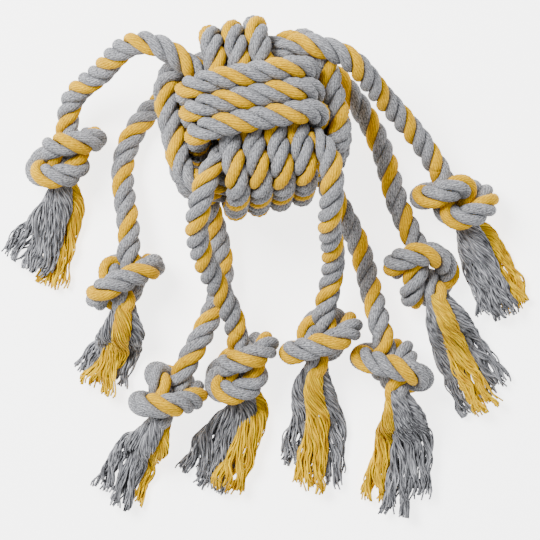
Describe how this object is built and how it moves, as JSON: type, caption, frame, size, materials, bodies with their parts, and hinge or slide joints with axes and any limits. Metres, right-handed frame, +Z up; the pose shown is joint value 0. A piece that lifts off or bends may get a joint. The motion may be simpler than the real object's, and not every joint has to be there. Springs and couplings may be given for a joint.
{
  "type": "rope dog toy",
  "caption": "Tug and chew toy of twisted cotton rope: a wound monkey's-fist ball with knotted rope legs that end in loose strands.",
  "frame": {"origin": "centre of the toy's plan, on the floor that it lies on", "axes": "+Z up from the floor, +Y towards the ball, +X to the right with the legs pointing towards the viewer"},
  "size_m": [0.3209, 0.2903, 0.1097],
  "materials": {
    "twisted_rope": "matt cotton, two heather grey strands and one mustard yellow strand laid together",
    "grey_cotton": "matt heather grey cotton yarn",
    "yellow_cotton": "matt mustard yellow cotton yarn"
  },
  "bodies": {
    "ball": {"fist_winding": "twisted_rope", "leg_core": "twisted_rope"},
    "leg_1": {"leg_1_rope": "twisted_rope", "leg_1_knot": "twisted_rope", "leg_1_tassel_yellow": "yellow_cotton", "leg_1_tassel_grey_b": "grey_cotton", "leg_1_tassel_grey_a": "grey_cotton"},
    "leg_2": {"leg_2_rope": "twisted_rope", "leg_2_knot": "twisted_rope", "leg_2_tassel_yellow": "yellow_cotton", "leg_2_tassel_grey_b": "grey_cotton", "leg_2_tassel_grey_a": "grey_cotton"},
    "leg_3": {"leg_3_rope": "twisted_rope", "leg_3_knot": "twisted_rope", "leg_3_tassel_yellow": "yellow_cotton", "leg_3_tassel_grey_b": "grey_cotton", "leg_3_tassel_grey_a": "grey_cotton"},
    "leg_4": {"leg_4_rope": "twisted_rope", "leg_4_knot": "twisted_rope", "leg_4_tassel_yellow": "yellow_cotton", "leg_4_tassel_grey_b": "grey_cotton", "leg_4_tassel_grey_a": "grey_cotton"},
    "leg_5": {"leg_5_rope": "twisted_rope", "leg_5_knot": "twisted_rope", "leg_5_tassel_yellow": "yellow_cotton", "leg_5_tassel_grey_b": "grey_cotton", "leg_5_tassel_grey_a": "grey_cotton"},
    "leg_6": {"leg_6_rope": "twisted_rope", "leg_6_knot": "twisted_rope", "leg_6_tassel_yellow": "yellow_cotton", "leg_6_tassel_grey_b": "grey_cotton", "leg_6_tassel_grey_a": "grey_cotton"},
    "leg_7": {"leg_7_rope": "twisted_rope", "leg_7_knot": "twisted_rope", "leg_7_tassel_yellow": "yellow_cotton", "leg_7_tassel_grey_b": "grey_cotton", "leg_7_tassel_grey_a": "grey_cotton"},
    "leg_8": {"leg_8_rope": "twisted_rope", "leg_8_knot": "twisted_rope", "leg_8_tassel_yellow": "yellow_cotton", "leg_8_tassel_grey_b": "grey_cotton", "leg_8_tassel_grey_a": "grey_cotton"}
  },
  "joints": [
    {"name": "leg_1_lift", "type": "hinge", "parent": "ball", "child": "leg_1", "pos_m": [-0.04096, 0.11191, 0.07682], "axis": [-0.4726, 0.8813, 0], "range_deg": [0, 50]},
    {"name": "leg_2_lift", "type": "hinge", "parent": "ball", "child": "leg_2", "pos_m": [-0.04597, 0.10434, 0.02144], "axis": [-0.9401, 0.341, 0], "range_deg": [0, 28]},
    {"name": "leg_3_lift", "type": "hinge", "parent": "ball", "child": "leg_3", "pos_m": [-0.03237, 0.05856, 0.0913], "axis": [-0.9909, -0.1345, 0], "range_deg": [0, 45]},
    {"name": "leg_4_lift", "type": "hinge", "parent": "ball", "child": "leg_4", "pos_m": [-0.03603, 0.04048, 0.02903], "axis": [-0.9792, 0.203, 0], "range_deg": [0, 7]},
    {"name": "leg_5_lift", "type": "hinge", "parent": "ball", "child": "leg_5", "pos_m": [0.03167, 0.06907, 0.09424], "axis": [-0.9999, 0.0136, 0], "range_deg": [0, 50]},
    {"name": "leg_6_lift", "type": "hinge", "parent": "ball", "child": "leg_6", "pos_m": [0.02717, 0.05929, 0.02918], "axis": [-0.9331, -0.3597, 0], "range_deg": [0, 25]},
    {"name": "leg_7_lift", "type": "hinge", "parent": "ball", "child": "leg_7", "pos_m": [0.01607, 0.12232, 0.01306], "axis": [-0.8565, -0.5161, 0], "range_deg": [0, 25]},
    {"name": "leg_8_lift", "type": "hinge", "parent": "ball", "child": "leg_8", "pos_m": [0.01228, 0.12866, 0.07755], "axis": [-0.6639, -0.7479, 0], "range_deg": [0, 50]}
  ]
}
